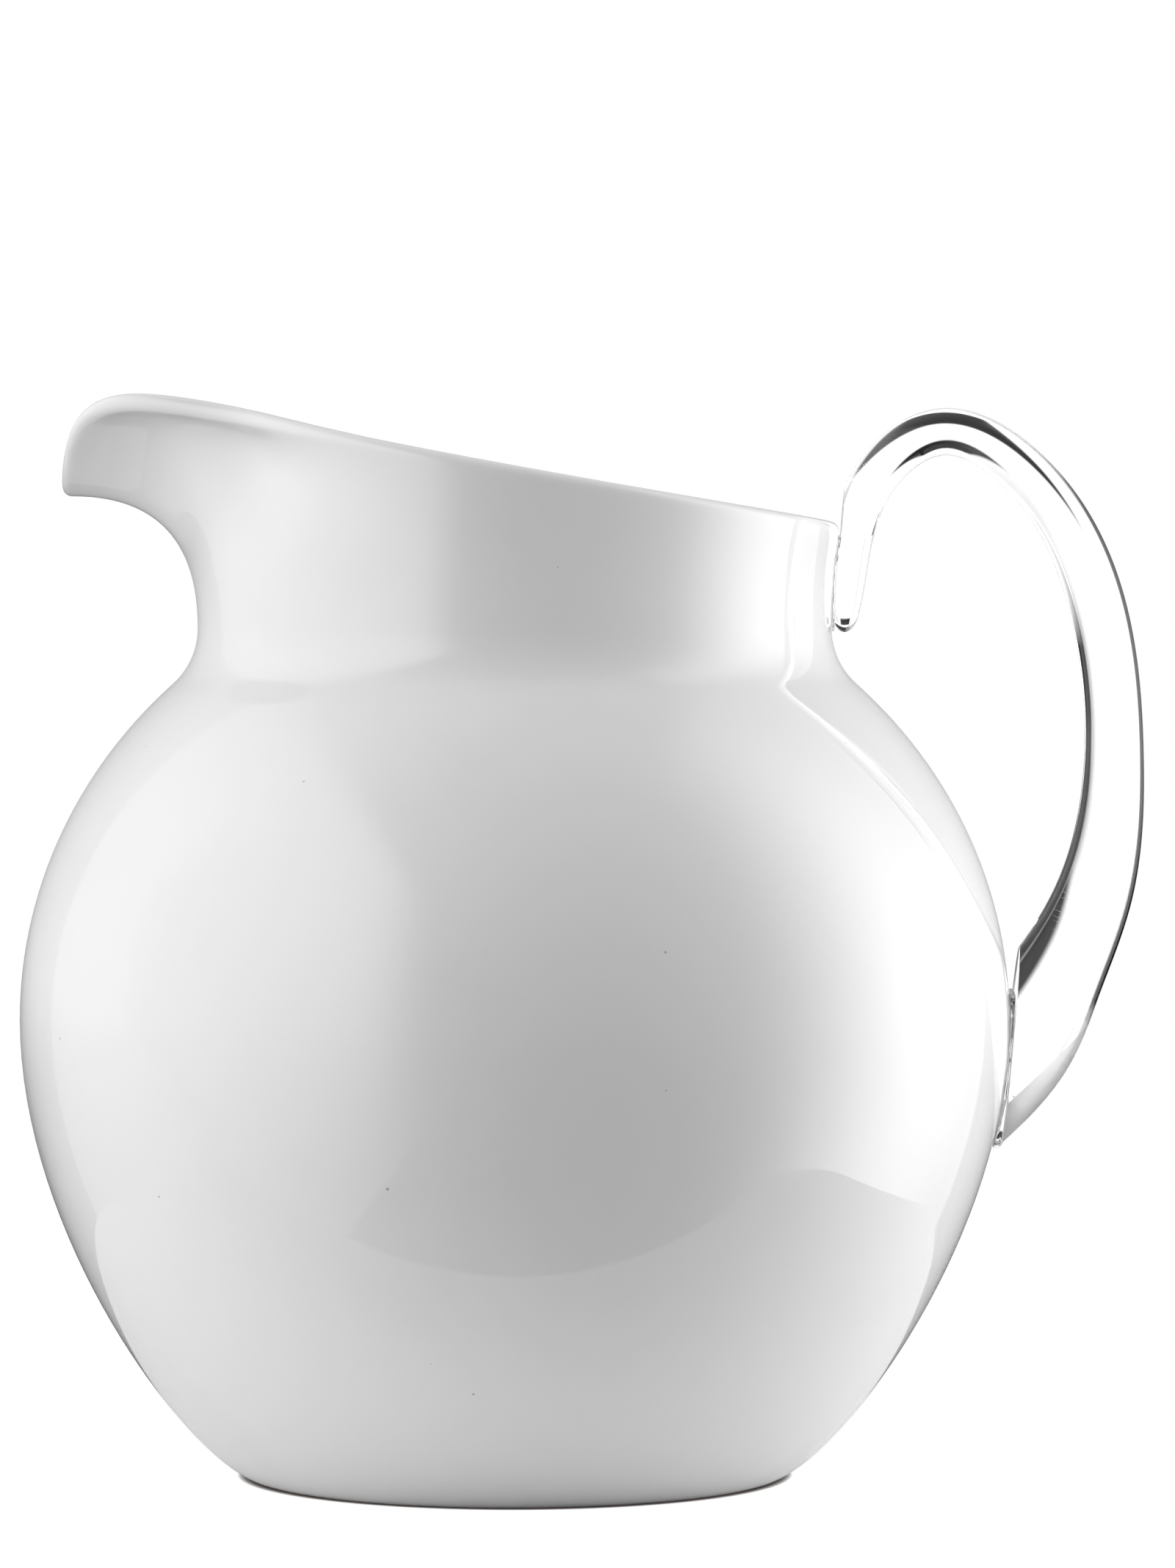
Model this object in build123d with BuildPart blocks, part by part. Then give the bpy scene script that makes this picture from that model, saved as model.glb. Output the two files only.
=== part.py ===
"""A ball-bodied jug with a slanted rim, a folded-down pouring lip and a clear looped handle.

The jug is one thin moulded shell: a round belly, a soft waist and an open neck whose rim
climbs from the handle side to the lip.  The handle is a solid clear rod, thick at its foot
and thin at its hooked tip.  It is glued to the shell at two pads, one on the neck and one
on the belly, and each glue film is a piece of its own.

Frame: millimetres, +Z up, the origin on the belly's axis at the surface the jug stands on.
The lip points along -X and the handle along +X.  Section angles are measured around +Z
from the lip (0) to the handle (180).
"""

import os
from math import cos, degrees, exp, hypot, pi, radians, sin, tan

from build123d import *

# ---- Driving dimensions ------------------------------------------------------------
# Belly
belly_diameter = 164.6
belly_centre_height = 76.2  # the widest level, above the base
belly_upper_height = 77.1  # half-height of the upper belly's ellipse
base_diameter = 87.8
base_spring_angle = 12.0  # how steeply the belly leaves the base
base_fullness = 9.8  # length of the curve's pull at the base
belly_fullness = 36.9  # length of the curve's pull at the widest level

# Neck, rim and pouring lip
neck_diameter = 105.4
waist_radius = 12.4  # the hollow curve between belly and neck
neck_height = 24.6  # from the waist up to the rim's middle, before the slant
rim_slant = 0.175  # how much the rim climbs towards the lip for each mm along X
rim_sag = 0.0003  # upward bow of the slanted rim seen from the side, for each mm squared
rim_flare = 1.2  # how far the rim stands out past the neck all round
lip_reach = 19.7  # how far the pouring lip stands out past the rim
lip_spread_angle = 27.0  # half-angle of the lip, seen from above
lip_squareness = 4.0
lip_drop = 17.2  # how far the lip's nose is folded down
lip_drop_angle = 13.5
rim_lean_side = 4.0  # lean of the wall at the rim from vertical, away from the lip
rim_lean_lip = 90.0  # and at the lip's nose
rim_lean_angle = 46.0
rim_lean_power = 2.8
neck_pull = 0.66  # share of the neck's length that stays upright before it flares
rim_pull = 0.25

# Shell
wall = 3.0
floor_thickness = 4.0

# Handle: a clear tapered rod
hook_drop = 18.2  # the rod's thin end below the rim at the back
handle_rise = 15.1  # the rod's centre line above the rim at the back, at its top
handle_reach = 17.6  # the rod's centre line past the belly, at its widest
arch_width = 31.8  # the rod's centre line past the neck, where the arch turns down
tip_thickness = 3.3
hook_thickness = 6.5
arch_thickness = 7.8
grip_thickness = 9.9
leg_thickness = 12.9
foot_thickness = 20.0
foot_depth = 14.5  # the foot's size along Y
pad_bite = 0.7  # how deep the round rod is flattened where it is glued to the neck
pad_height = 69.0  # where the foot's flat face comes nearest to the belly

# Glue films
bond_gap = 0.5
bond_spread = 0.7  # how far the glue is squeezed out around the rod
belly_glue_rise = 12.0  # how far above pad_height the glue fills the gap

# ---- Derived values ----------------------------------------------------------------
belly_radius = belly_diameter / 2
base_radius = base_diameter / 2
neck_radius = neck_diameter / 2


def waist(inset):
    """Centre (radius, height) of the waist curve and the belly's angle where it starts.

    The waist is an arc that touches the belly's ellipse from outside and the upright neck.
    """
    across, up, arc = belly_radius - inset, belly_upper_height - inset, waist_radius + inset
    target = neck_radius + waist_radius
    low, high = 0.0, pi / 2
    for _ in range(60):
        angle = (low + high) / 2
        out, rise = cos(angle) / across, sin(angle) / up
        if across * cos(angle) + arc * out / hypot(out, rise) > target:
            low = angle
        else:
            high = angle
    out, rise = cos(angle) / across, sin(angle) / up
    centre_height = belly_centre_height + up * sin(angle) + arc * rise / hypot(out, rise)
    return centre_height, angle, hypot(out, rise)


neck_foot_height = waist(0)[0]


def lean_at(angle):
    """Lean of the wall at the rim from vertical, in radians."""
    share = exp(-((angle / rim_lean_angle) ** rim_lean_power))
    return radians(rim_lean_side + (rim_lean_lip - rim_lean_side) * share)


def rim_at(angle):
    """Radius and height of the shell's outer edge at the rim, at an angle from the lip."""
    radius = neck_radius + rim_flare
    radius += lip_reach * exp(-((angle / lip_spread_angle) ** lip_squareness))
    along = -radius * cos(radians(angle))
    height = neck_foot_height + neck_height - rim_slant * along + rim_sag * along**2
    height -= lip_drop * exp(-((angle / lip_drop_angle) ** 2))
    return radius, height


def section_plane(angle):
    """The upright half-plane at an angle from the lip: local x is outward, local y is up."""
    a = radians(angle)
    return Plane(origin=(0, 0, 0), x_dir=(-cos(a), -sin(a), 0), z_dir=(-sin(a), cos(a), 0))


def skin_line(angle, inset, start):
    """One skin of the shell from its foot to the rim, drawn in the current BuildLine.

    inset is the distance inside the outer skin; start is the foot (radius, height).
    """
    across = belly_radius - inset
    spring = radians(base_spring_angle)
    widest = (across, belly_centre_height)
    Bezier(
        start,
        (start[0] + base_fullness * cos(spring), start[1] + base_fullness * sin(spring)),
        (across, belly_centre_height - belly_fullness),
        widest,
    )
    centre_height, turn, _ = waist(inset)
    belly = EllipticalCenterArc(
        (0, belly_centre_height),
        across,
        belly_upper_height - inset,
        start_angle=0,
        arc_size=degrees(turn),
    )
    centre = Vector(neck_radius + waist_radius, centre_height)
    arc = waist_radius + inset
    halfway = (belly @ 1 - centre).normalized() + Vector(-1, 0)
    middle = centre + halfway.normalized() * arc
    neck_foot = (neck_radius - inset, centre_height)
    ThreePointArc(belly @ 1, middle, neck_foot)

    radius, height = rim_at(angle)
    lean = lean_at(angle)
    length = hypot(radius - neck_radius, height - neck_foot_height)
    end = (radius - inset * cos(lean), height + inset * sin(lean))
    Bezier(
        neck_foot,
        (neck_foot[0], neck_foot[1] + neck_pull * length),
        (end[0] - rim_pull * length * sin(lean), end[1] - rim_pull * length * cos(lean)),
        end,
    )
    return end


# ---- The shell -----------------------------------------------------------------------
section_angles = (0, 5, 10, 15, 20, 25, 31, 38, 46, 56, 68, 82, 98, 114, 130, 146, 160, 171, 180)
ring_width = 6.0  # the part of the floor that belongs to the lofted wall
inner_foot = (base_radius - wall / 3, floor_thickness)

with BuildPart() as jug_body:
    for angle in section_angles:
        with BuildSketch(section_plane(angle)):
            with BuildLine():
                outer_end = skin_line(angle, 0, (base_radius, 0))
                inner_end = skin_line(angle, wall, inner_foot)
                lean = lean_at(angle)
                rim_centre = (Vector(*outer_end) + Vector(*inner_end)) / 2
                rim_top = rim_centre + Vector(sin(lean), cos(lean)) * wall / 2
                ThreePointArc(outer_end, rim_top, inner_end)
                Polyline(
                    inner_foot,
                    (base_radius - ring_width, floor_thickness),
                    (base_radius - ring_width, 0),
                    (base_radius, 0),
                )
            make_face()
    loft()
    mirror(about=Plane.XZ)
    with BuildSketch():
        Circle(base_radius - ring_width / 2)
    extrude(amount=floor_thickness)


# ---- The handle's rod ----------------------------------------------------------------
rim_back_height = rim_at(180)[1] + wall / 2
neck_face = neck_radius + bond_gap

# Stations of the rod's centre line (x, z) and its thickness in the XZ plane there, from the
# hooked tip over the arch and down to the foot.  Each is placed from the part of the shell
# that it has to meet or clear.
rod_stations = [
    (neck_face + tip_thickness / 2, rim_back_height - hook_drop, tip_thickness),
    (neck_face + 1.9, rim_back_height - 0.73 * hook_drop, 0.8 * hook_thickness),
    (neck_face + hook_thickness / 2 - pad_bite, rim_back_height - 5.7, hook_thickness),
    (neck_radius + 6.8, rim_back_height + 6.8, 0.95 * arch_thickness),
    (neck_radius + 18.3, rim_back_height + handle_rise, arch_thickness),
    (neck_radius + arch_width, rim_back_height + handle_rise - 6.3, 1.05 * arch_thickness),
    (belly_radius + handle_reach - 3.8, rim_back_height - 10.5, 0.95 * grip_thickness),
    (belly_radius + handle_reach, belly_centre_height + 43.8, grip_thickness),
    (belly_radius + handle_reach - 3.4, belly_centre_height + 20.4, leg_thickness),
    (belly_radius + 7.9, belly_centre_height + 6.8, 0.8 * foot_thickness),
    (belly_radius + 2.0, belly_centre_height - 2.5, foot_thickness),
    (belly_radius - 10.6, belly_centre_height - 13.5, 1.2 * foot_thickness),
]
rod_sections = 36

with BuildLine(Plane.XZ) as rod_line:
    Spline(*[(x, z) for x, z, thickness in rod_stations])

centre_line = rod_line.edge()

# Where each station lies along the rod, and the rod's thickness there
rod_taper = [
    (centre_line.param_at_point(Vector(x, 0, z)), thickness) for x, z, thickness in rod_stations
]


def taper_at(share):
    """Thickness of the rod at a share of its line, straight between two stations."""
    for (low, thick), (high, thicker) in zip(rod_taper, rod_taper[1:]):
        if share <= high:
            return thick + (thicker - thick) * (share - low) / (high - low)
    return rod_taper[-1][1]


def loft_rod(spread):
    """The raw rod, grown by spread all round, lofted in the current BuildPart."""
    sections = []
    for step in range(rod_sections + 1):
        share = step / rod_sections
        thickness = taper_at(share)
        depth = min(thickness, foot_depth)
        across = Plane(centre_line @ share, x_dir=(0, 1, 0), z_dir=centre_line % share)
        with BuildSketch(across) as section:
            Ellipse(depth / 2 + spread, thickness / 2 + spread)
        sections.append(section.sketch)
    loft(sections)
    tip_face = faces().filter_by(GeomType.PLANE).sort_by(Axis.Z)[-1]
    fillet(tip_face.edges(), radius=0.42 * tip_thickness)


def back_solid(grow):
    """The shell's back as a filled solid of revolution, grown outward all round.

    Its side runs on past the rim in line with the neck, so the rod is trimmed cleanly there.
    """
    with BuildPart() as back:
        with BuildSketch(Plane.XZ):
            with BuildLine():
                foot = (base_radius + grow, -grow)
                end = skin_line(180, -grow, foot)
                top = rim_back_height + hook_drop
                above = end[0] + (top - end[1]) * tan(lean_at(180))
                Polyline(end, (above, top), (0, top), (0, -grow), foot)
            make_face()
        revolve(axis=Axis.Z)
    return back.part


def foot_face():
    """The plane of the foot's flat face, square to the belly at pad_height, facing outward."""
    with BuildLine() as skin:
        skin_line(180, 0, (base_radius, 0))
    lower_belly = skin.edges()[0]
    low, high = 0.0, 1.0
    for _ in range(50):
        middle = (low + high) / 2
        if (lower_belly @ middle).Y < pad_height:
            low = middle
        else:
            high = middle
    touch, along = lower_belly @ low, lower_belly % low
    outward = Vector(along.Y, 0, -along.X)
    origin = Vector(touch.X, 0, touch.Y) + outward * bond_gap
    return Plane(origin=origin, x_dir=(0, 1, 0), z_dir=outward)


glue_face = back_solid(bond_gap)
wall_middle = back_solid(-wall / 2)
pad_plane = foot_face()
pad_side = 3 * foot_thickness

with BuildPart() as pad:
    with Locations(pad_plane):
        Box(pad_side, pad_side, pad_side, align=(Align.CENTER, Align.CENTER, Align.MAX))

with BuildPart() as handle:
    loft_rod(0)
    add(glue_face, mode=Mode.SUBTRACT)
    add(pad.part, mode=Mode.SUBTRACT)


def glue_film(outer, low, high):
    """The glue between the shell and an outer limit, from one height to another."""
    with BuildPart() as film:
        loft_rod(bond_spread)
        add(outer, mode=Mode.INTERSECT)
        add(wall_middle, mode=Mode.SUBTRACT)
        add(jug_body.part, mode=Mode.SUBTRACT)
        with Locations((belly_radius, 0, (low + high) / 2)):
            Box(belly_diameter, belly_diameter, high - low, mode=Mode.INTERSECT)
    return film


neck_bond = glue_film(glue_face, belly_centre_height + belly_upper_height / 2, rim_at(180)[1] - 0.6)
belly_bond = glue_film(pad.part, 0, pad_height + belly_glue_rise)

# ---- Labels and files ----------------------------------------------------------------
pieces = {
    "jug_body": jug_body,
    "handle": handle,
    "neck_bond": neck_bond,
    "belly_bond": belly_bond,
}
os.makedirs("parts", exist_ok=True)
for name, piece in pieces.items():
    piece.part.label = name
    export_step(piece.part, f"parts/{name}.step")
    box = piece.part.bounding_box()
    print(name, box, round(piece.part.volume), piece.part.is_valid, len(piece.solids()))
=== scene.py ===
import math

import bmesh
import bpy
import numpy as np
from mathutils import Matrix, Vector, noise


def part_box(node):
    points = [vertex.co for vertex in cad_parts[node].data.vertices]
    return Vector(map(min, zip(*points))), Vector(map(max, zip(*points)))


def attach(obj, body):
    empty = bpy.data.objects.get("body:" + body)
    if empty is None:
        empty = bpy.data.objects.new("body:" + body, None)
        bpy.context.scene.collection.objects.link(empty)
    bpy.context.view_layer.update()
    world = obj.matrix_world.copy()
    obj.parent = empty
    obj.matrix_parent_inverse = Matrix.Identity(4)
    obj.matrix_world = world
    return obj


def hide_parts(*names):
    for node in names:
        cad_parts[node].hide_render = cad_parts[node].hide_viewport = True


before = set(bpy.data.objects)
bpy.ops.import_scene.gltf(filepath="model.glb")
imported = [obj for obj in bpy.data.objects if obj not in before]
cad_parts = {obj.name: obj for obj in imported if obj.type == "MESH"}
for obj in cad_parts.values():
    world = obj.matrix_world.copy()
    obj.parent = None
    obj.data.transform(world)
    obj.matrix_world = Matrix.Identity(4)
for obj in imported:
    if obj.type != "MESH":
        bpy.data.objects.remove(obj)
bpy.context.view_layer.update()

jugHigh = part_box("jug_body")[1]
print("frame loaded:", sorted(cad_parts))


def bezier(points, t):
    # cubic, t is an array; each point may hold arrays, one value for each column
    a, b, c, d = points
    return (1 - t) ** 3 * a + 3 * t * (1 - t) ** 2 * b + 3 * t * t * (1 - t) * c + t ** 3 * d


def naturalSpline(knots, values, at):
    # smooth curve through the values, with free ends; returns values and slopes
    n = len(knots)
    step = np.diff(knots)
    left, right = np.eye(n), np.zeros_like(values)
    for i in range(1, n - 1):
        left[i, i - 1:i + 2] = step[i - 1], 2 * (step[i - 1] + step[i]), step[i]
        rise = (values[i + 1] - values[i]) / step[i] - (values[i] - values[i - 1]) / step[i - 1]
        right[i] = 6 * rise
    bend = np.linalg.solve(left, right)
    i = np.clip(np.searchsorted(knots, at) - 1, 0, n - 2)
    h, a, b = step[i][:, None], (knots[i + 1] - at)[:, None], (at - knots[i])[:, None]
    start, end = values[i], values[i + 1]
    place = (bend[i] * a ** 3 + bend[i + 1] * b ** 3) / (6 * h)
    place += (start / h - bend[i] * h / 6) * a + (end / h - bend[i + 1] * h / 6) * b
    slope = (bend[i + 1] * b ** 2 - bend[i] * a ** 2) / (2 * h)
    slope += (end - start) / h - h * (bend[i + 1] - bend[i]) / 6
    return place, slope


def smoothObject(name, verts, faces, sharpAngle=None):
    mesh = bpy.data.meshes.new(name)
    mesh.from_pydata([tuple(v) for v in verts], [], faces)
    mesh.validate()
    mesh.shade_smooth()
    if sharpAngle:
        mesh.set_sharp_from_angle(angle=math.radians(sharpAngle))
    obj = bpy.data.objects.new(name, mesh)
    bpy.context.scene.collection.objects.link(obj)
    return obj


def ringObject(name, rings, startPoint=None, endPoint=None, sharpAngle=None):
    # rings is (rows, columns, 3), closed round its columns, with a point at each end
    rows, cols, _ = rings.shape
    verts = rings.reshape(-1, 3).tolist()
    faces = []
    for r in range(rows - 1):
        for c in range(cols):
            n = (c + 1) % cols
            faces.append((r * cols + c, r * cols + n, (r + 1) * cols + n, (r + 1) * cols + c))
    if startPoint is not None:
        verts.append(startPoint)
        faces += [(len(verts) - 1, (c + 1) % cols, c) for c in range(cols)]
    if endPoint is not None:
        verts.append(endPoint)
        last = (rows - 1) * cols
        faces += [(len(verts) - 1, last + c, last + (c + 1) % cols) for c in range(cols)]
    obj = smoothObject(name, verts, faces, sharpAngle)
    bm = bmesh.new()
    bm.from_mesh(obj.data)
    bmesh.ops.recalc_face_normals(bm, faces=bm.faces)  # every face looks out of the material
    bm.to_mesh(obj.data)
    bm.free()
    return obj


shell = {  # one moulded skin from the foot to the folded lip, in metres and degrees
    "baseRadius": 0.0439,
    "springAngle": 12.0,  # how steeply the belly leaves the base
    "basePull": 0.0098,
    "bellyPull": 0.0369,
    "bellyCentre": 0.0762,
    "bellyUp": 0.0771,
    "neckRadius": 0.0527,
    "waistRadius": 0.0124,
    "neckHeight": 0.02459,
    "rimSlant": 0.175,
    "rimSag": 0.3,
    "rimFlare": 0.0012,
    "lipReach": 0.0197,
    "lipSpread": 27.0,
    "lipSquareness": 4.0,
    "lipDrop": 0.0172,
    "lipDropAngle": 13.5,
    "leanSide": 4.0,
    "leanLip": 90.0,
    "leanAngle": 46.0,
    "leanPower": 2.8,
    "neckPull": 0.66,
    "rimPull": 0.25,
    "wall": 0.003,
    "floor": 0.004,
    "recess": 0.0007,  # the underside is hollowed inside its standing ring
    "columns": 288,
    "lipCrowding": 0.45,  # columns stand closer together at the lip and at the handle
}
shell["bellyRadius"] = jugHigh.y  # the smaller half, so that every facet stays inside


def waistStart(inset):
    # the waist is an arc that touches the belly's ellipse and the upright neck
    across, up = shell["bellyRadius"] - inset, shell["bellyUp"] - inset
    arc = shell["waistRadius"] + inset
    low, high = 0.0, math.pi / 2
    for _ in range(60):
        turn = (low + high) / 2
        out, rise = math.cos(turn) / across, math.sin(turn) / up
        size = math.hypot(out, rise)
        wide = across * math.cos(turn) + arc * out / size > shell["neckRadius"] + shell["waistRadius"]
        low, high = (turn, high) if wide else (low, turn)
    return shell["bellyCentre"] + up * math.sin(turn) + arc * rise / size, turn


neckFoot = waistStart(0)[0]


def rimLean(angle):
    share = np.exp(-(angle / shell["leanAngle"]) ** shell["leanPower"])
    return np.radians(shell["leanSide"] + (shell["leanLip"] - shell["leanSide"]) * share)


def rimEdge(angle):
    # angle is measured from the lip, in degrees
    bulge = np.exp(-(angle / shell["lipSpread"]) ** shell["lipSquareness"])
    radius = shell["neckRadius"] + shell["rimFlare"] + shell["lipReach"] * bulge
    along = -radius * np.cos(np.radians(angle))
    height = neckFoot + shell["neckHeight"] - shell["rimSlant"] * along + shell["rimSag"] * along ** 2
    return radius, height - shell["lipDrop"] * np.exp(-(angle / shell["lipDropAngle"]) ** 2)


def bellyRows(inset, foot, steps=(34, 30, 12)):
    # radius and height from the foot to the top of the waist, the same all round
    across, centre = shell["bellyRadius"] - inset, shell["bellyCentre"]
    spring = math.radians(shell["springAngle"])
    pull = shell["basePull"]
    guide = (
        foot[0] + pull * math.cos(spring), foot[1] + pull * math.sin(spring),
        across, centre - shell["bellyPull"],
    )
    t = np.linspace(0, 1, steps[0])
    radii = [bezier((foot[0], guide[0], guide[2], across), t)]
    heights = [bezier((foot[1], guide[1], guide[3], centre), t)]
    waistHeight, turn = waistStart(inset)
    a = np.linspace(0, turn, steps[1])[1:]
    radii.append(across * np.cos(a))
    heights.append(centre + (shell["bellyUp"] - inset) * np.sin(a))
    arc, hub = shell["waistRadius"] + inset, shell["neckRadius"] + shell["waistRadius"]
    start = math.atan2(heights[-1][-1] - waistHeight, radii[-1][-1] - hub)
    a = np.linspace(start, -math.pi, steps[2])[1:]
    radii.append(hub + arc * np.cos(a))
    heights.append(waistHeight + arc * np.sin(a))
    return np.concatenate(radii), np.concatenate(heights)


def neckRows(angle, inset, steps):
    # radius and height from the top of the waist to the rim's edge, one column for each angle
    radius, height = rimEdge(angle)
    lean = rimLean(angle)
    length = np.hypot(radius - shell["neckRadius"], height - neckFoot)
    foot = shell["neckRadius"] - inset + 0 * angle
    low = waistStart(inset)[0] + 0 * angle
    endR, endZ = radius - inset * np.cos(lean), height + inset * np.sin(lean)
    back = shell["rimPull"] * length
    t = np.linspace(0, 1, steps)[:, None]
    radii = bezier((foot, foot, endR - back * np.sin(lean), endR), t)
    heights = bezier(
        (low, low + shell["neckPull"] * length, endZ - back * np.cos(lean), endZ), t
    )
    return radii, heights


def columnAngles():
    u = np.linspace(-1, 1, shell["columns"], endpoint=False)
    return math.pi * u - shell["lipCrowding"] / 2 * np.sin(2 * math.pi * u)


def makeShell():
    turn = columnAngles()
    angle = np.degrees(np.abs(turn))
    wall = shell["wall"]
    recess, ring = shell["recess"], shell["baseRadius"]
    under = [  # underside, from the moulding's gate mark out to the standing ring
        (0.0022, recess * 0.35), (0.0034, recess * 0.4), (0.0042, recess), (0.012, recess),
        (0.022, recess), (0.031, recess), (ring - 0.0065, recess), (ring - 0.0052, recess * 0.8),
        (ring - 0.0042, recess * 0.3), (ring - 0.0034, 0.0), (ring - 0.0012, 0.0),
    ]
    inside = [(ring - wall / 3 - 0.004 - 0.0065 * i, shell["floor"]) for i in range(6)]
    outerR, outerZ = bellyRows(0, (ring, 0))
    innerR, innerZ = bellyRows(wall, (ring - wall / 3, shell["floor"]), (26, 24, 10))
    neckR, neckZ = neckRows(angle, 0, 34)
    backR, backZ = neckRows(angle, wall, 26)
    lean = rimLean(angle)
    roll = np.linspace(0, math.pi, 12)[1:-1, None]  # the rim is rolled over in a half circle
    midR, midZ = (neckR[-1] + backR[-1]) / 2, (neckZ[-1] + backZ[-1]) / 2
    rimR = midR + wall / 2 * (np.cos(lean) * np.cos(roll) + np.sin(lean) * np.sin(roll))
    rimZ = midZ + wall / 2 * (-np.sin(lean) * np.cos(roll) + np.cos(lean) * np.sin(roll))
    spread = np.ones((1, len(turn)))
    radii = np.vstack([
        np.array(under)[:, :1] * spread, outerR[:, None] * spread, neckR[1:], rimR,
        backR[::-1], innerR[::-1][1:, None] * spread, np.array(inside)[:, :1] * spread,
    ])
    heights = np.vstack([
        np.array(under)[:, 1:] * spread, outerZ[:, None] * spread, neckZ[1:], rimZ,
        backZ[::-1], innerZ[::-1][1:, None] * spread, np.array(inside)[:, 1:] * spread,
    ])
    rings = np.stack([-radii * np.cos(turn), radii * np.sin(turn), heights], axis=2)
    gate, floorMiddle = (0, 0, recess * 0.35), (0, 0, shell["floor"])
    return ringObject("moulded_shell", rings, gate, floorMiddle)


rod = {  # a clear tapered rod, bent, with a hooked tip and a foot that is cut flat
    "hookDrop": 0.0182,
    "rise": 0.0151,
    "reach": 0.0176,
    "archWidth": 0.0318,
    "tip": 0.0033,
    "tipRound": 0.0026,  # length of the rounded end
    "hook": 0.0065,
    "arch": 0.0078,
    "grip": 0.0099,
    "leg": 0.0129,
    "foot": 0.020,
    "footDepth": 0.0145,
    "footEase": 8,  # how gently the round rod passes into the flattened foot
    "padBite": 0.0007,
    "padHeight": 0.069,
    "bondGap": 0.0005,
    "pressBelow": 0.01,  # how far below the neck's foot the rod is still pressed flat
    "sides": 80,
    "rings": 300,
    "footRings": 70,
    "footStart": 0.80,  # share of the rod where its lines start to reach for the flat face
}


def backSkin(grow):
    # the shell's back as heights and radii, grown outward, running on straight past the rim
    radii, heights = bellyRows(-grow, (shell["baseRadius"] + grow, -grow))
    neckR, neckZ = neckRows(np.array([180.0]), -grow, 30)
    radii = np.concatenate([radii, neckR[1:, 0]])
    heights = np.concatenate([heights, neckZ[1:, 0]])
    beyond = 0.03
    lean = math.tan(rimLean(np.array([180.0]))[0])
    return np.append(heights, heights[-1] + beyond), np.append(radii, radii[-1] + beyond * lean)


def rodStations():
    neckFace = shell["neckRadius"] + rod["bondGap"]
    rimBack = rimEdge(np.array([180.0]))[1][0] + shell["wall"] / 2
    belly, centre, neck = shell["bellyRadius"], shell["bellyCentre"], shell["neckRadius"]
    return np.array([  # x, z and thickness
        (neckFace + rod["tip"] / 2, rimBack - rod["hookDrop"], rod["tip"]),
        (neckFace + 0.0019, rimBack - 0.73 * rod["hookDrop"], 0.8 * rod["hook"]),
        (neckFace + rod["hook"] / 2 - rod["padBite"], rimBack - 0.0057, rod["hook"]),
        (neck + 0.0068, rimBack + 0.0068, 0.95 * rod["arch"]),
        (neck + 0.0183, rimBack + rod["rise"], rod["arch"]),
        (neck + rod["archWidth"], rimBack + rod["rise"] - 0.0063, 1.05 * rod["arch"]),
        (belly + rod["reach"] - 0.0038, rimBack - 0.0105, 0.95 * rod["grip"]),
        (belly + rod["reach"], centre + 0.0438, rod["grip"]),
        (belly + rod["reach"] - 0.0034, centre + 0.0204, rod["leg"]),
        (belly + 0.0079, centre + 0.0068, 0.8 * rod["foot"]),
        (belly + 0.0020, centre - 0.0025, rod["foot"]),
        (belly - 0.0106, centre - 0.0135, 1.2 * rod["foot"]),
    ])


def padFace():
    # a point on the foot's flat face and the direction it faces away from the belly
    heights, radii = backSkin(0)
    z = rod["padHeight"]
    radius = np.interp(z, heights, radii)
    slope = (np.interp(z + 0.001, heights, radii) - radius) / 0.001
    outward = np.array([1.0, 0.0, -slope]) / math.hypot(1, slope)
    return np.array([radius, 0, z]) + outward * rod["bondGap"], outward


stations = rodStations()
stationLength = np.append(0, np.cumsum(np.hypot(*np.diff(stations[:, :2], axis=0).T)))
rodLength = stationLength[-1]
padPoint, padOut = padFace()


def rodPoint(length, around):
    # points of the rod's skin: length along it and angle around it, arrays of one shape
    flat = length.ravel()
    place, slope = naturalSpline(stationLength, stations, flat)
    size = np.hypot(slope[:, 0], slope[:, 1])
    normal = np.stack([slope[:, 1] / size, -slope[:, 0] / size], axis=1)
    tip = rod["tipRound"]
    dome = np.sqrt(np.clip(1 - np.clip(1 - flat / tip, 0, 1) ** 2, 0, 1))
    half = place[:, 2] / 2 * dome
    limit, ease = rod["footDepth"] / 2, rod["footEase"]
    deep = (np.maximum(half, 1e-9) ** -ease + limit ** -ease) ** (-1 / ease)
    c, s = np.cos(around.ravel()), np.sin(around.ravel())
    x, z = place[:, 0] + normal[:, 0] * half * c, place[:, 1] + normal[:, 1] * half * c
    return np.stack([x, deep * s, z], axis=1).reshape(*length.shape, 3)


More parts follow.
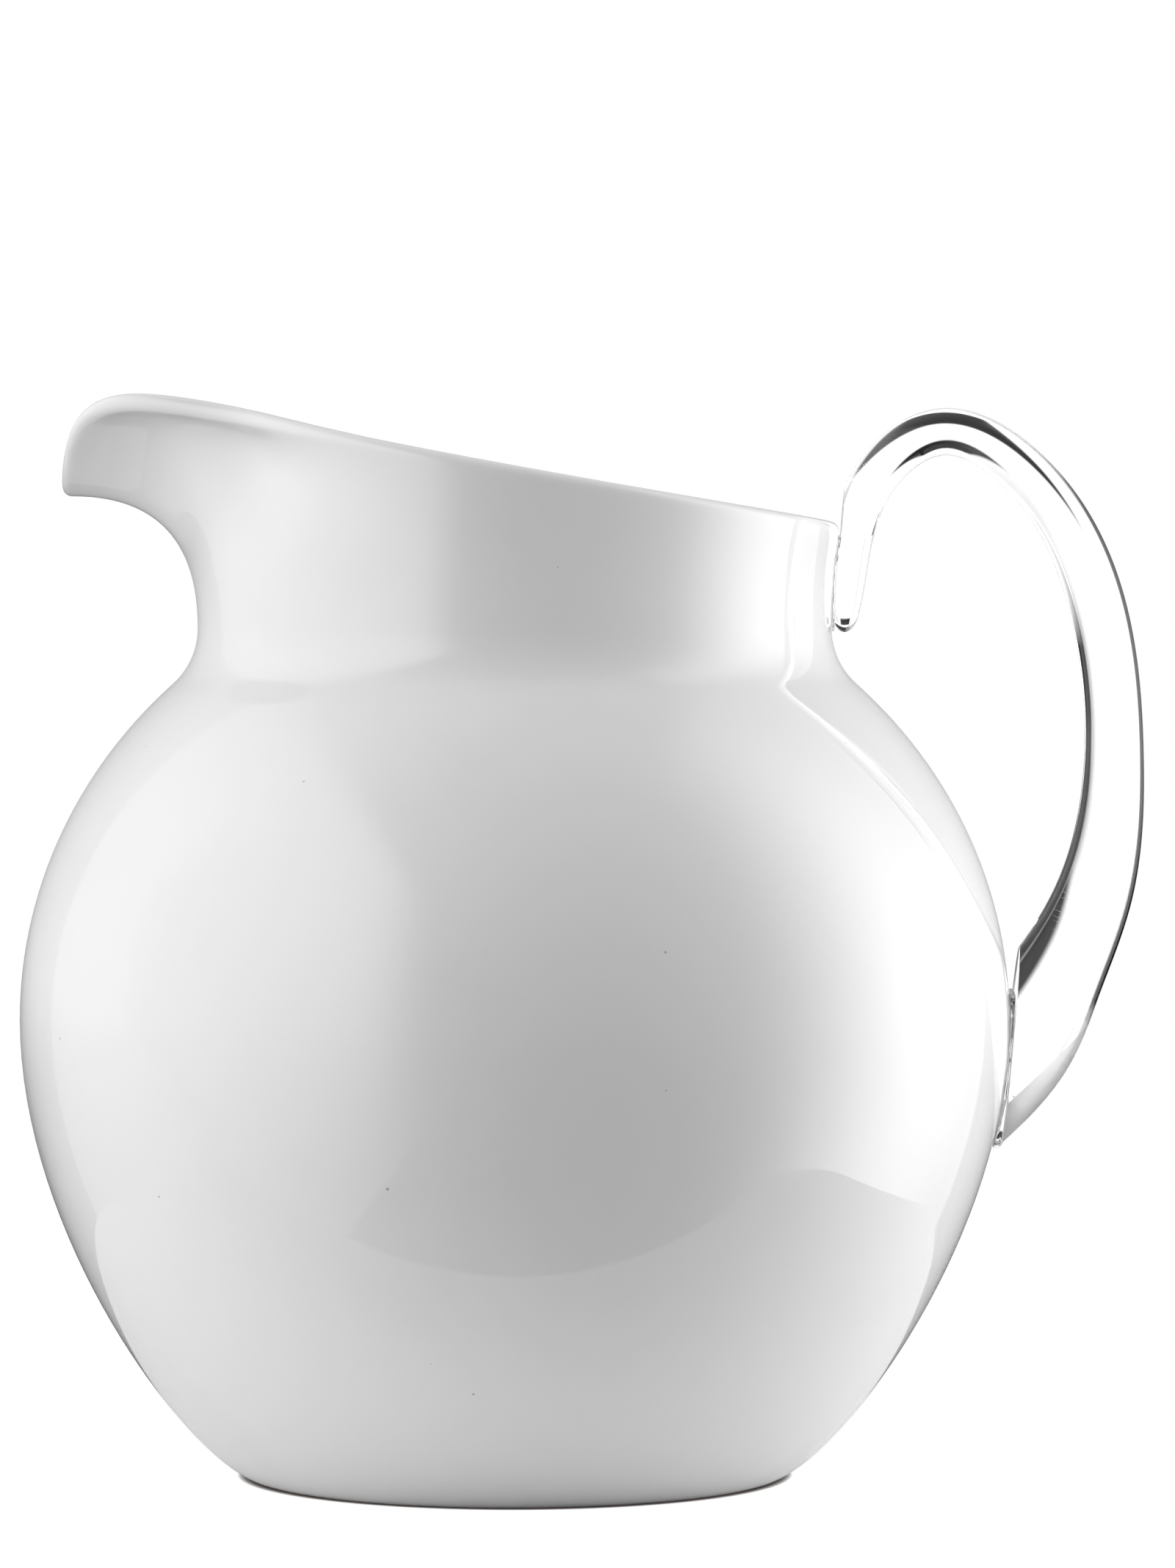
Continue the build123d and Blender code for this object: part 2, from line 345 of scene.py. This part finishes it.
def makeRod():
    around = np.linspace(0, 2 * math.pi, rod["sides"], endpoint=False)
    tip = rod["tipRound"]
    domeAt = tip * (1 - np.cos(np.radians(np.arange(12, 90, 9))))
    plainEnd = rod["footStart"] * rodLength
    plainAt = np.linspace(tip, plainEnd, rod["rings"])
    at = np.concatenate([domeAt, plainAt])
    grid = rodPoint(*np.meshgrid(at, around, indexing="ij"))

    # each line of the foot ends where it meets the flat face
    low = np.full(len(around), plainEnd)
    high = np.full(len(around), rodLength)
    for _ in range(40):
        middle = (low + high) / 2
        outside = (rodPoint(middle, around) - padPoint) @ padOut > 0
        low, high = np.where(outside, middle, low), np.where(outside, high, middle)
    share = np.linspace(0, 1, rod["footRings"] + 1)[1:, None]
    footAt = plainEnd + share * (low - plainEnd)
    foot = rodPoint(footAt, np.broadcast_to(around, footAt.shape))
    rim, middle = foot[-1], foot[-1].mean(axis=0)
    capShare = np.array([0.96, 0.85, 0.68, 0.48, 0.26])[:, None, None]
    cap = middle + (rim - middle) * capShare
    rings = np.concatenate([grid, foot, cap])

    # the side that lies against the neck is pressed flat onto its glue
    heights, radii = backSkin(rod["bondGap"])
    reach = np.hypot(rings[..., 0], rings[..., 1])
    face = np.interp(rings[..., 2], heights, radii)
    beside = rings[..., 2] > neckFoot - rod["pressBelow"]
    press = np.where(beside, np.maximum(face / reach, 1), 1)
    rings[..., 0] *= press
    rings[..., 1] *= press
    tipPoint = rodPoint(np.array([0.0]), np.array([0.0]))[0]
    return ringObject("clear_handle", rings, tipPoint, middle, sharpAngle=50)


glue = {  # a thin film behind the hook and a thicker bead under the foot
    "sink": 0.00004,  # how far it laps into the shell and into the rod
    "squareness": 0.35,  # 1 is a round section, less is flatter with fuller edges
    "ripple": 0.10,  # how unevenly its border has crept
    "width": 0.88,  # share of its bed that it fills across
    "beadStart": 0.0024,  # how far above its bed's lowest point the bead starts
    "ripplePace": 0.004 / 0.0022,  # how many ripples there are
    "rippleStretch": 3,
    "endPower": 3,  # more gives squarer ends
    "endFill": 1.6,
    "rows": 64,
    "sides": 72,
}


def filmFace(z):
    heights, radii = backSkin(rod["bondGap"] + glue["sink"])
    return np.interp(z, heights, radii)


def padFaceAt(z):
    # the flat cut of the foot, as a distance from the jug's axis
    return padPoint[0] - (z - padPoint[2]) * padOut[2] / padOut[0] + glue["sink"]


def makeGlue(name, box, face, curved, seed):
    # a closed bead between the shell's back and the rod; box is its lowest and highest corner
    low, high = box
    bottom = low.z + (0 if curved else glue["beadStart"])
    v = np.linspace(0, 1, glue["rows"] + 2)[1:-1]
    around = np.linspace(0, 2 * math.pi, glue["sides"], endpoint=False)
    heights, radii = backSkin(-glue["sink"])
    middle, half = (bottom + high.z) / 2, (high.z - bottom) / 2
    rings = []
    for along in np.cos(math.pi * (1 - v)):
        z = middle + half * along
        full = (1 - abs(along) ** glue["endPower"]) ** (1 / glue["endPower"])
        ring = []
        for turn in around:
            c, s = math.cos(turn), math.sin(turn)
            spot = Vector((c * full, along * glue["rippleStretch"], seed)) * glue["ripplePace"]
            creep = 1 - glue["ripple"] * (1 + noise.noise(spot))
            y = math.copysign(abs(c) ** glue["squareness"], c) * full * creep
            y *= high.y * glue["width"]
            inner = math.sqrt(np.interp(z, heights, radii) ** 2 - y * y)
            outer = math.sqrt(face(z) ** 2 - y * y) if curved else face(z)
            rise = math.copysign(abs(s) ** glue["squareness"], s)
            rise *= min(1, full * glue["endFill"])
            ring.append(((inner + outer) / 2 + rise * abs(outer - inner) / 2, y, z))
        rings.append(ring)
    rings = np.array(rings)
    first, last = rings[0].mean(axis=0), rings[-1].mean(axis=0)
    return ringObject(name, rings, first, last)


shellPiece = makeShell()
print("shell:", len(shellPiece.data.vertices), "points")
rodPiece = makeRod()
print("handle:", len(rodPiece.data.vertices), "points")
filmPiece = makeGlue("neck_glue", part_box("neck_bond"), filmFace, True, 1.7)
beadPiece = makeGlue("belly_glue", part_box("belly_bond"), padFaceAt, False, 6.3)
print("glue:", len(filmPiece.data.vertices) + len(beadPiece.data.vertices), "points")

for piece, node, slot in (
    (shellPiece, "jug_body", "shell"), (rodPiece, "handle", "clear_rod"),
    (filmPiece, "neck_bond", "glue"), (beadPiece, "belly_bond", "glue"),
):
    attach(piece, "root")
    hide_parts(node)


def newMaterial(name):
    mat = bpy.data.materials.new(name)
    mat.use_nodes = True
    tree = mat.node_tree
    return mat, tree, tree.nodes["Principled BSDF"], tree.nodes["Material Output"]


def sumNode(tree, kind, a, b=None, c=None):
    # one arithmetic node; each input is a number or another node's output
    node = tree.nodes.new("ShaderNodeMath")
    node.operation = kind
    for i, value in enumerate((a, b, c)):
        if value is None:
            continue
        if isinstance(value, (int, float)):
            node.inputs[i].default_value = value
        else:
            tree.links.new(value, node.inputs[i])
    return node.outputs[0]


def rampNode(tree, value, low, high, start=0.0, end=1.0):
    # eases from start to end while value goes from low to high
    node = tree.nodes.new("ShaderNodeMapRange")
    node.interpolation_type = "SMOOTHSTEP"
    tree.links.new(value, node.inputs["Value"])
    for name, number in (("From Min", low), ("From Max", high), ("To Min", start), ("To Max", end)):
        node.inputs[name].default_value = number
    return node.outputs["Result"]


handling = {  # dust, finger smudges, hairlines and moulding waves, which every piece shares
    "speckSize": 0.02,  # shares of a dust cell
    "speckSpread": 0.05,
    "speckHeight": 0.00004,
    "smudgeScale": 38,
    "smudgeEdge": (0.52, 0.72),
    "hairlineScale": 60,
    "hairlineStretch": (1, 1, 9),
    "hairlineWidth": 0.006,
    "hairlineGaps": 90,
    "hairlineGapEdge": (0.56, 0.64),
    "hairlineDepth": -0.000003,
    "turned": (0.4, 0.7, 0.2),
}


def makeMarksGroup():
    group = bpy.data.node_groups.new("handlingMarks", "ShaderNodeTree")
    sockets = {"Dust": 0.2, "Hairlines": 1.0, "Waves": 1.0, "Wave Scale": 14.0, "Dust Scale": 300.0}
    for name, value in sockets.items():
        socket = group.interface.new_socket(name, in_out="INPUT", socket_type="NodeSocketFloat")
        socket.default_value = value
    for name in ("Dust Mask", "Smudge Mask", "Height"):
        group.interface.new_socket(name, in_out="OUTPUT", socket_type="NodeSocketFloat")
    nodes, links = group.nodes, group.links
    give = nodes.new("NodeGroupInput").outputs
    take = nodes.new("NodeGroupOutput").inputs
    place = nodes.new("ShaderNodeTexCoord").outputs["Object"]

    # dust sits as single specks, only in some of the cells
    cells = nodes.new("ShaderNodeTexVoronoi")
    links.new(place, cells.inputs["Vector"])
    links.new(give["Dust Scale"], cells.inputs["Scale"])
    chance = nodes.new("ShaderNodeSeparateColor")
    links.new(cells.outputs["Color"], chance.inputs["Color"])
    size = sumNode(
        group, "MULTIPLY_ADD", chance.outputs["Green"], handling["speckSpread"], handling["speckSize"]
    )
    speck = sumNode(group, "LESS_THAN", cells.outputs["Distance"], size)
    picked = sumNode(group, "LESS_THAN", chance.outputs["Red"], give["Dust"])
    dust = sumNode(group, "MULTIPLY", speck, picked)

    # smudges are broad, hairlines are thin ridges in stretched noise
    def cloud(scale, detail, stretch=(1, 1, 1)):
        fit = nodes.new("ShaderNodeMapping")
        fit.inputs["Scale"].default_value = stretch
        fit.inputs["Rotation"].default_value = handling["turned"]
        links.new(place, fit.inputs["Vector"])
        node = nodes.new("ShaderNodeTexNoise")
        links.new(fit.outputs["Vector"], node.inputs["Vector"])
        node.inputs["Scale"].default_value = scale
        node.inputs["Detail"].default_value = detail
        return node

    smudge = rampNode(
        group, cloud(handling["smudgeScale"], 4).outputs["Fac"], *handling["smudgeEdge"]
    )
    ridged = cloud(handling["hairlineScale"], 2, handling["hairlineStretch"])
    ridge = sumNode(group, "ABSOLUTE", sumNode(group, "SUBTRACT", ridged.outputs["Fac"], 0.5))
    line = rampNode(group, ridge, 0.0, handling["hairlineWidth"], 1.0, 0.0)
    broken = rampNode(
        group, cloud(handling["hairlineGaps"], 3).outputs["Fac"], *handling["hairlineGapEdge"]
    )
    hairline = sumNode(group, "MULTIPLY", line, broken)
    hairline = sumNode(group, "MULTIPLY", hairline, give["Hairlines"])

    # heights in metres: slow waves left by the mould, then the marks on top
    wave = cloud(sockets["Wave Scale"], 1)
    links.new(give["Wave Scale"], wave.inputs["Scale"])
    height = sumNode(group, "MULTIPLY", wave.outputs["Fac"], give["Waves"])
    height = sumNode(group, "MULTIPLY_ADD", dust, handling["speckHeight"], height)
    height = sumNode(group, "MULTIPLY_ADD", hairline, handling["hairlineDepth"], height)
    for name, value in (("Dust Mask", dust), ("Smudge Mask", smudge), ("Height", height)):
        links.new(value, take[name])
    return group


marks = makeMarksGroup()


def addMarks(tree, bsdf, **values):
    # places the shared group and bumps the surface with its height
    node = tree.nodes.new("ShaderNodeGroup")
    node.node_tree = marks
    for name, value in values.items():
        node.inputs[name.replace("_", " ")].default_value = value
    bump = tree.nodes.new("ShaderNodeBump")
    bump.inputs["Distance"].default_value = 1.0
    tree.links.new(node.outputs["Height"], bump.inputs["Height"])
    tree.links.new(bump.outputs["Normal"], bsdf.inputs["Normal"])
    return node.outputs


def mixColor(tree, share, first, second):
    # share is an output or a number; each colour is three numbers or an output
    node = tree.nodes.new("ShaderNodeMix")
    node.data_type = "RGBA"
    for socket, value in (("Factor_Float", share), ("A_Color", first), ("B_Color", second)):
        target = next(s for s in node.inputs if s.identifier == socket)
        if isinstance(value, tuple):
            target.default_value = (*value, 1)
        elif isinstance(value, (int, float)):
            target.default_value = value
        else:
            tree.links.new(value, target)
    return next(s for s in node.outputs if s.identifier == "Result_Color")


shellLook = {
    "white": (0.82, 0.82, 0.82),
    "whiteCloud": (0.80, 0.805, 0.80),
    "dustColor": (0.30, 0.28, 0.26),
    "roughness": 0.022,
    "smudgeRoughness": 0.035,
    "dustRoughness": 0.5,
    "dustCover": 0.75,
    "ior": 1.49,
}


def makeShellMaterial():
    mat, tree, bsdf, _ = newMaterial("moulded_white")
    links = tree.links
    found = addMarks(tree, bsdf, Dust=0.05, Hairlines=1.0, Waves=0.00022, Wave_Scale=16.0)
    tone = mixColor(tree, found["Smudge Mask"], shellLook["white"], shellLook["whiteCloud"])
    dirt = sumNode(tree, "MULTIPLY", found["Dust Mask"], shellLook["dustCover"])
    links.new(mixColor(tree, dirt, tone, shellLook["dustColor"]), bsdf.inputs["Base Color"])
    smudged, plain = shellLook["smudgeRoughness"], shellLook["roughness"]
    rough = sumNode(tree, "MULTIPLY_ADD", found["Smudge Mask"], smudged, plain)
    rough = sumNode(tree, "MULTIPLY_ADD", found["Dust Mask"], shellLook["dustRoughness"], rough)
    links.new(rough, bsdf.inputs["Roughness"])
    bsdf.inputs["IOR"].default_value = shellLook["ior"]
    return mat


def letLightThrough(tree, bsdf, out, color):
    # shadows pass straight through, only a little dimmed
    path = tree.nodes.new("ShaderNodeLightPath")
    see = tree.nodes.new("ShaderNodeBsdfTransparent")
    see.inputs["Color"].default_value = (*color, 1)
    mix = tree.nodes.new("ShaderNodeMixShader")
    tree.links.new(path.outputs["Is Shadow Ray"], mix.inputs["Fac"])
    tree.links.new(bsdf.outputs["BSDF"], mix.inputs[1])
    tree.links.new(see.outputs["BSDF"], mix.inputs[2])
    tree.links.new(mix.outputs["Shader"], out.inputs["Surface"])


rodLook = {
    "clear": (0.985, 0.99, 0.99),
    "speckColor": (0.62, 0.62, 0.61),
    # painted shade: the almost black tint of the dark lines by the grip's sides
    "paintedEdgeShadeColor": (0.0006, 0.0006, 0.0008),
    "flareStep": 0.0005,
    # painted shade: the grey of the flared end of the foot
    "paintedFlareShadeColor": (0.72, 0.72, 0.72),
    "flareRoughness": 0.5,
    "flareSlant": 0.944,
    "flareLine": -0.0148,
    # where each painted dark line of shade is not seen yet, and where it is full
    "outerEdge": (0.42, 0.53),  # how steep the skin is
    "outerSide": (0.45, 0.75),  # how far it faces away from the jug
    "outerFrom": (0.082, 0.092),  # metres along x
    "aboveFoot": (0.070, 0.079),  # metres up
    "innerStart": (0.16, 0.40),
    "innerEnd": (0.85, 0.72),
    "innerSide": (-0.3, -0.6),
    "innerFrom": (0.078, 0.084),
    "belowArch": (0.156, 0.138),
    "shadowColor": (0.92, 0.93, 0.93),
    "ior": 1.49,
}


def makeRodMaterial():
    mat, tree, bsdf, out = newMaterial("clear_acrylic")
    nodes, links = tree.nodes, tree.links
    found = addMarks(tree, bsdf, Dust=0.10, Waves=0.00005, Wave_Scale=55.0, Dust_Scale=420.0)
    tone = mixColor(tree, found["Dust Mask"], rodLook["clear"], rodLook["speckColor"])

    # the flared end of the foot is frosted and duller than the rod, below a slanting line; its
    # roughness is frost, its grey tone is painted shade
    place = nodes.new("ShaderNodeNewGeometry")
    spot, way = nodes.new("ShaderNodeSeparateXYZ"), nodes.new("ShaderNodeSeparateXYZ")
    links.new(place.outputs["Position"], spot.inputs["Vector"])
    links.new(place.outputs["Normal"], way.inputs["Vector"])
    x, z, facingX = spot.outputs["X"], spot.outputs["Z"], way.outputs["X"]
    above = sumNode(tree, "MULTIPLY_ADD", x, -rodLook["flareSlant"], z)
    line = rodLook["flareLine"]
    frostAndPaintedShade = rampNode(tree, above, line - rodLook["flareStep"], line, 1.0, 0.0)
    tone = mixColor(tree, frostAndPaintedShade, tone, rodLook["paintedFlareShadeColor"])

    # painted shade: both sides of the grip are tinted almost black by their edges through Layer
    # Weight, where they bend the most light, in place of the dark surroundings a clear rod would show
    # there
    facing = nodes.new("ShaderNodeLayerWeight")
    facing.inputs["Blend"].default_value = 0.5
    steep = facing.outputs["Facing"]
    outer = rampNode(tree, steep, *rodLook["outerEdge"])
    inner = rampNode(tree, steep, *rodLook["innerStart"])
    for value, start, end in (
        (facingX, *rodLook["outerSide"]), (x, *rodLook["outerFrom"]), (z, *rodLook["aboveFoot"]),
    ):
        outer = sumNode(tree, "MULTIPLY", outer, rampNode(tree, value, start, end))
    for value, start, end in (
        (steep, *rodLook["innerEnd"]), (facingX, *rodLook["innerSide"]),
        (x, *rodLook["innerFrom"]), (z, *rodLook["belowArch"]),
    ):
        inner = sumNode(tree, "MULTIPLY", inner, rampNode(tree, value, start, end))
    paintedEdgeShade = sumNode(tree, "MAXIMUM", outer, inner)
    links.new(mixColor(tree, paintedEdgeShade, tone, rodLook["paintedEdgeShadeColor"]), bsdf.inputs["Base Color"])
    frost = sumNode(tree, "MULTIPLY", frostAndPaintedShade, rodLook["flareRoughness"])
    links.new(frost, bsdf.inputs["Roughness"])
    bsdf.inputs["IOR"].default_value = rodLook["ior"]
    bsdf.inputs["Transmission Weight"].default_value = 1.0
    letLightThrough(tree, bsdf, out, rodLook["shadowColor"])
    return mat


glueLook = {
    "clear": (0.93, 0.93, 0.92),
    "cloud": (0.16, 0.16, 0.16),
    "bubble": (0.10, 0.10, 0.10),
    "shadowColor": (0.85, 0.85, 0.85),
    "ior": 1.47,
}


def makeGlueMaterial():
    mat, tree, bsdf, out = newMaterial("set_glue")
    found = addMarks(tree, bsdf, Dust=0.45, Waves=0.0004, Wave_Scale=260.0, Dust_Scale=900.0)
    tone = mixColor(tree, found["Smudge Mask"], glueLook["clear"], glueLook["cloud"])
    tone = mixColor(tree, found["Dust Mask"], tone, glueLook["bubble"])
    tree.links.new(tone, bsdf.inputs["Base Color"])
    bsdf.inputs["Roughness"].default_value = 0.0
    bsdf.inputs["IOR"].default_value = glueLook["ior"]
    bsdf.inputs["Transmission Weight"].default_value = 1.0
    letLightThrough(tree, bsdf, out, glueLook["shadowColor"])
    return mat


shellPiece.data.materials.append(makeShellMaterial())
rodPiece.data.materials.append(makeRodMaterial())
glueMaterial = makeGlueMaterial()
filmPiece.data.materials.append(glueMaterial)
beadPiece.data.materials.append(glueMaterial)
print("materials made")


stand = {  # the small pale table the jug stands on, in metres
    "halfWidth": 0.168,
    "front": -0.107,
    "back": 0.075,
    "corner": 0.05,
    "white": (0.84, 0.84, 0.84),
    # painted contact shadow: its dark brown, how far it reaches from the jug and how sharply it fades
    "paintedContactShadowColor": (0.035, 0.024, 0.020),
    "paintedContactShadowReach": 0.0009,
    "paintedContactShadowPower": 1.7,
}


def makeStand():
    # rounded plate with its top at height 0
    verts = []
    for turn in range(0, 360, 5):
        a = math.radians(turn)
        x = math.copysign(stand["halfWidth"] - stand["corner"], math.cos(a))
        y = stand["back"] if math.sin(a) > 0 else stand["front"]
        y -= math.copysign(stand["corner"], math.sin(a))
        verts.append((x + stand["corner"] * math.cos(a), y + stand["corner"] * math.sin(a), 0))
    floor = smoothObject("stand", verts, [tuple(range(len(verts)))])
    mat, tree, bsdf, out = newMaterial("stand_white")
    nodes, links = tree.nodes, tree.links
    bsdf.inputs["Base Color"].default_value = (*stand["white"], 1)
    bsdf.inputs["Roughness"].default_value = 0.9
    bsdf.inputs["Specular IOR Level"].default_value = 0.0
    # painted contact shadow: the camera sees the stand as an even white glow, which ambient occlusion
    # darkens to dark brown within about a millimetre of the jug's foot; other rays see the pale
    # diffuse plate
    path = nodes.new("ShaderNodeLightPath")
    paintedShadowOcclusion = nodes.new("ShaderNodeAmbientOcclusion")
    paintedShadowOcclusion.inputs["Distance"].default_value = stand["paintedContactShadowReach"]
    glow = nodes.new("ShaderNodeEmission")
    clear = sumNode(tree, "POWER", paintedShadowOcclusion.outputs["AO"], stand["paintedContactShadowPower"])
    paintedShadowGlowColor = mixColor(tree, clear, stand["paintedContactShadowColor"], (1.0, 1.0, 1.0))
    links.new(paintedShadowGlowColor, glow.inputs["Color"])
    mix = nodes.new("ShaderNodeMixShader")
    links.new(path.outputs["Is Camera Ray"], mix.inputs["Fac"])
    links.new(bsdf.outputs["BSDF"], mix.inputs[1])
    links.new(glow.outputs["Emission"], mix.inputs[2])
    links.new(mix.outputs["Shader"], out.inputs["Surface"])
    floor.data.materials.append(mat)


walls = {  # two upright diffusing walls of light; hot is the lamp's patch behind the cloth
    "left": {
        "x": -0.5, "base": 0.234, "hot": 2.50, "hotY": -0.606, "hotZ": 0.40, "wideY": 0.548,
        "wideZ": 0.718, "back": 0.396, "front": -1.25, "top": 0.895, "bottom": -0.5,
        "soft": 0.55,
    },
    "right": {
        "x": 0.5, "base": 0.544, "hot": 3.25, "hotY": -0.003, "hotZ": 0.059, "wideY": 0.218,
        "wideZ": 0.649, "back": 0.475, "front": -0.324, "top": 1.07, "bottom": -0.5,
        "soft": 0.15,
    },
}
areaPower = math.pi  # watts on a square metre for a radiance of one
wallTopFade = 0.15


def makeWall(name, wall):
    data = bpy.data.lights.new(name, "AREA")
    data.shape = "RECTANGLE"
    soft = wall["soft"]
    front, top = wall["front"] - soft, wall["top"] + wallTopFade
    data.size, data.size_y = top - wall["bottom"], wall["back"] - front
    data.energy = areaPower * data.size * data.size_y
    obj = bpy.data.objects.new(name, data)
    bpy.context.scene.collection.objects.link(obj)
    obj.location = (wall["x"], (front + wall["back"]) / 2, (top + wall["bottom"]) / 2)
    obj.rotation_euler = (0, math.copysign(math.pi / 2, wall["x"]), 0)
    obj.visible_camera = False
    data.use_nodes = True
    tree = data.node_tree
    place = tree.nodes.new("ShaderNodeNewGeometry")
    parts = tree.nodes.new("ShaderNodeSeparateXYZ")
    tree.links.new(place.outputs["Position"], parts.inputs["Vector"])
    y, z = parts.outputs["Y"], parts.outputs["Z"]
    offY = sumNode(tree, "DIVIDE", sumNode(tree, "SUBTRACT", y, wall["hotY"]), wall["wideY"])
    offZ = sumNode(tree, "DIVIDE", sumNode(tree, "SUBTRACT", z, wall["hotZ"]), wall["wideZ"])
    away = sumNode(tree, "MULTIPLY_ADD", offY, offY, sumNode(tree, "MULTIPLY", offZ, offZ))
    patch = sumNode(tree, "EXPONENT", sumNode(tree, "MULTIPLY", away, -1.0))
    level = sumNode(tree, "MULTIPLY_ADD", patch, wall["hot"], wall["base"])
    fadeFront = rampNode(tree, y, front, wall["front"] + soft)
    fadeTop = rampNode(tree, z, top, wall["top"] - wallTopFade)
    fade = sumNode(tree, "MULTIPLY", fadeFront, fadeTop)
    # what is seen straight through the rod is the backdrop, not this wall
    path = tree.nodes.new("ShaderNodeLightPath")
    direct = sumNode(tree, "LESS_THAN", path.outputs["Glossy Depth"], 0.5)
    hide = sumNode(tree, "MULTIPLY", path.outputs["Is Transmission Ray"], direct)
    fade = sumNode(tree, "MULTIPLY", fade, sumNode(tree, "SUBTRACT", 1.0, hide))
    strength = tree.nodes["Emission"].inputs["Strength"]
    tree.links.new(sumNode(tree, "MULTIPLY", level, fade), strength)


room = {  # what surrounds the set, as levels of light
    "low": 0.035,
    "front": 0.09,
    "behind": 0.42,
    "topLeft": 0.90,
    "topRight": 0.275,
    "backdrop": 1.3,  # seen through the clear rod
    "overhead": 0.15,  # share of the top's level in front of the set
    # directions between which one level passes into the next
    "frontToBehind": (-0.2, 0.35),
    "leftToRight": (-1.0, 1.0),
    "overheadToBehind": (-0.6, 0.2),
    "sideToTop": (0.25, 0.8),
    "lowToSide": (-0.15, 0.02),
}

# dark things around the backdrop: left, right, bottom, top, blur, depth, and how top and bottom slant
darkPatches = {
    "table_gap": (-0.20, 2.0, -0.66, -0.20, 0.03, 0.97, 0.15),
    "right_mid": (0.66, 2.0, -0.30, -0.09, 0.04, 0.95, 0.0),
    "right_side": (0.68, 0.97, -0.02, 0.45, 0.03, 0.97, 0.0),
    "right_shade": (0.50, 2.0, -0.50, 0.60, 0.25, 0.30, 0.0),
    "left_side": (-0.90, -0.72, -0.35, 0.35, 0.03, 0.97, 0.0),
    "upper": (-0.22, 0.30, 0.26, 0.56, 0.03, 0.985, 0.0),
    "upper_right": (0.05, 0.60, 0.18, 0.62, 0.10, 0.20, 0.0),
}


def patchLevel(tree, across, up, patch):
    # dims a soft-edged rectangle of directions
    left, right, bottom, top, blur, depth, slant = patch
    tilted = sumNode(tree, "MULTIPLY_ADD", across, slant, up)
    inside = rampNode(tree, across, left - blur, left + blur)
    for value, start, end in (
        (across, right + blur, right - blur), (tilted, bottom - blur, bottom + blur),
        (tilted, top + blur, top - blur),
    ):
        inside = sumNode(tree, "MULTIPLY", inside, rampNode(tree, value, start, end))
    return sumNode(tree, "MULTIPLY_ADD", inside, -depth, 1.0)


def makeWorld():
    world = bpy.data.worlds.new("studio")
    bpy.context.scene.world = world
    world.use_nodes = True
    tree = world.node_tree
    nodes, links = tree.nodes, tree.links
    nodes.clear()
    where = nodes.new("ShaderNodeTexCoord")
    parts = nodes.new("ShaderNodeSeparateXYZ")
    links.new(where.outputs["Generated"], parts.inputs["Vector"])
    x, y, z = parts.outputs
    side = rampNode(tree, y, *room["frontToBehind"], room["front"], room["behind"])
    top = rampNode(tree, x, *room["leftToRight"], room["topLeft"], room["topRight"])
    behind = rampNode(tree, y, *room["overheadToBehind"], room["overhead"], 1.0)
    rise = sumNode(tree, "SUBTRACT", sumNode(tree, "MULTIPLY", top, behind), side)
    level = sumNode(tree, "MULTIPLY_ADD", rampNode(tree, z, *room["sideToTop"]), rise, side)
    above = rampNode(tree, z, *room["lowToSide"])
    level = sumNode(tree, "MULTIPLY_ADD", level, above, room["low"])
    through = room["backdrop"]
    for patch in darkPatches.values():
        through = sumNode(tree, "MULTIPLY", patchLevel(tree, x, z, patch), through)
    path = nodes.new("ShaderNodeLightPath")
    shine = None
    for glow, mask in ((level, None), (through, "Is Transmission Ray"), (1.0, "Is Camera Ray")):
        lit = nodes.new("ShaderNodeBackground")
        lit.inputs["Color"].default_value = (1, 1, 1, 1)
        if isinstance(glow, float):
            lit.inputs["Strength"].default_value = glow
        else:
            links.new(glow, lit.inputs["Strength"])
        if mask is None:
            shine = lit.outputs["Background"]
            continue
        mix = nodes.new("ShaderNodeMixShader")
        links.new(path.outputs[mask], mix.inputs["Fac"])
        links.new(shine, mix.inputs[1])
        links.new(lit.outputs["Background"], mix.inputs[2])
        shine = mix.outputs["Shader"]
    out = nodes.new("ShaderNodeOutputWorld")
    links.new(shine, out.inputs["Surface"])


camera = {  # in metres, the lens in millimetres
    "back": 1.150,
    "height": 0.149,
    "aim": (0.0121, 0.0, 0.1152),
    "lens": 158.5,
}


def makeCamera():
    data = bpy.data.cameras.new("camera")
    data.sensor_width = 36  # millimetres
    data.lens = camera["lens"]
    cam = bpy.data.objects.new("camera", data)
    bpy.context.scene.collection.objects.link(cam)
    cam.location = (0, -camera["back"], camera["height"])
    cam.rotation_euler = (Vector(camera["aim"]) - cam.location).to_track_quat("-Z", "Y").to_euler()
    bpy.context.scene.camera = cam


makeStand()
makeWorld()
makeWall("left_wall", walls["left"])
makeWall("right_wall", walls["right"])
makeCamera()
bpy.context.scene.view_settings.view_transform = "Standard"
print("studio ready")
